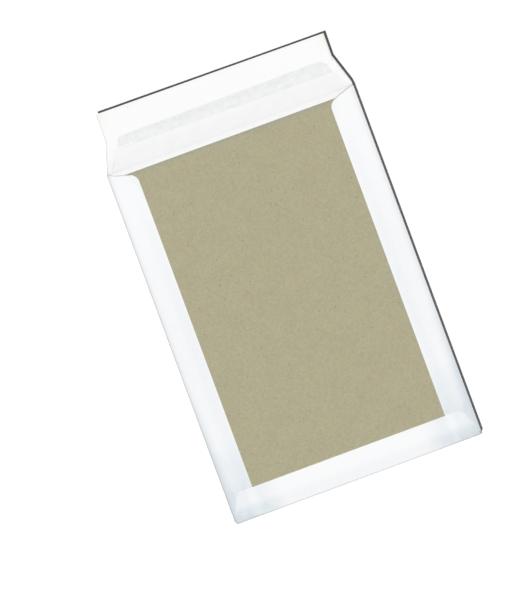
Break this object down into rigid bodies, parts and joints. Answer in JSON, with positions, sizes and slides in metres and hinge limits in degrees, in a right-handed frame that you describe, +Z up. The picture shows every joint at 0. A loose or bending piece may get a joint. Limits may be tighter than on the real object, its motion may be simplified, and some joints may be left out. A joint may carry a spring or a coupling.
{
  "type": "board-backed envelope",
  "caption": "Flat pocket envelope of folded white paper, glued round a stiff backing board, with an open peel-and-seal flap under a release liner, for posting papers unbent.",
  "frame": {"origin": "under the middle of the opened envelope's overall length and width, on the surface that its address side lies on", "axes": "+X across the envelope, +Y along it from the bottom fold towards the open flap, +Z up from the address side to the board side"},
  "size_m": [0.229, 0.378, 0.0016],
  "materials": {
    "envelope_paper": "smooth uncoated white",
    "backing_board": "raw recycled board, finely speckled",
    "seam_glue": "dried glue film",
    "flap_adhesive": "tacky pressure-sensitive adhesive",
    "release_liner": "smooth silicone-coated release paper"
  },
  "bodies": {
    "root": {"envelope_sheet": "envelope_paper", "backing_board": "backing_board", "left_seam_glue": "seam_glue", "right_seam_glue": "seam_glue", "bottom_seam_glue": "seam_glue", "flap_adhesive": "flap_adhesive", "release_liner": "release_liner"}
  },
  "joints": []
}
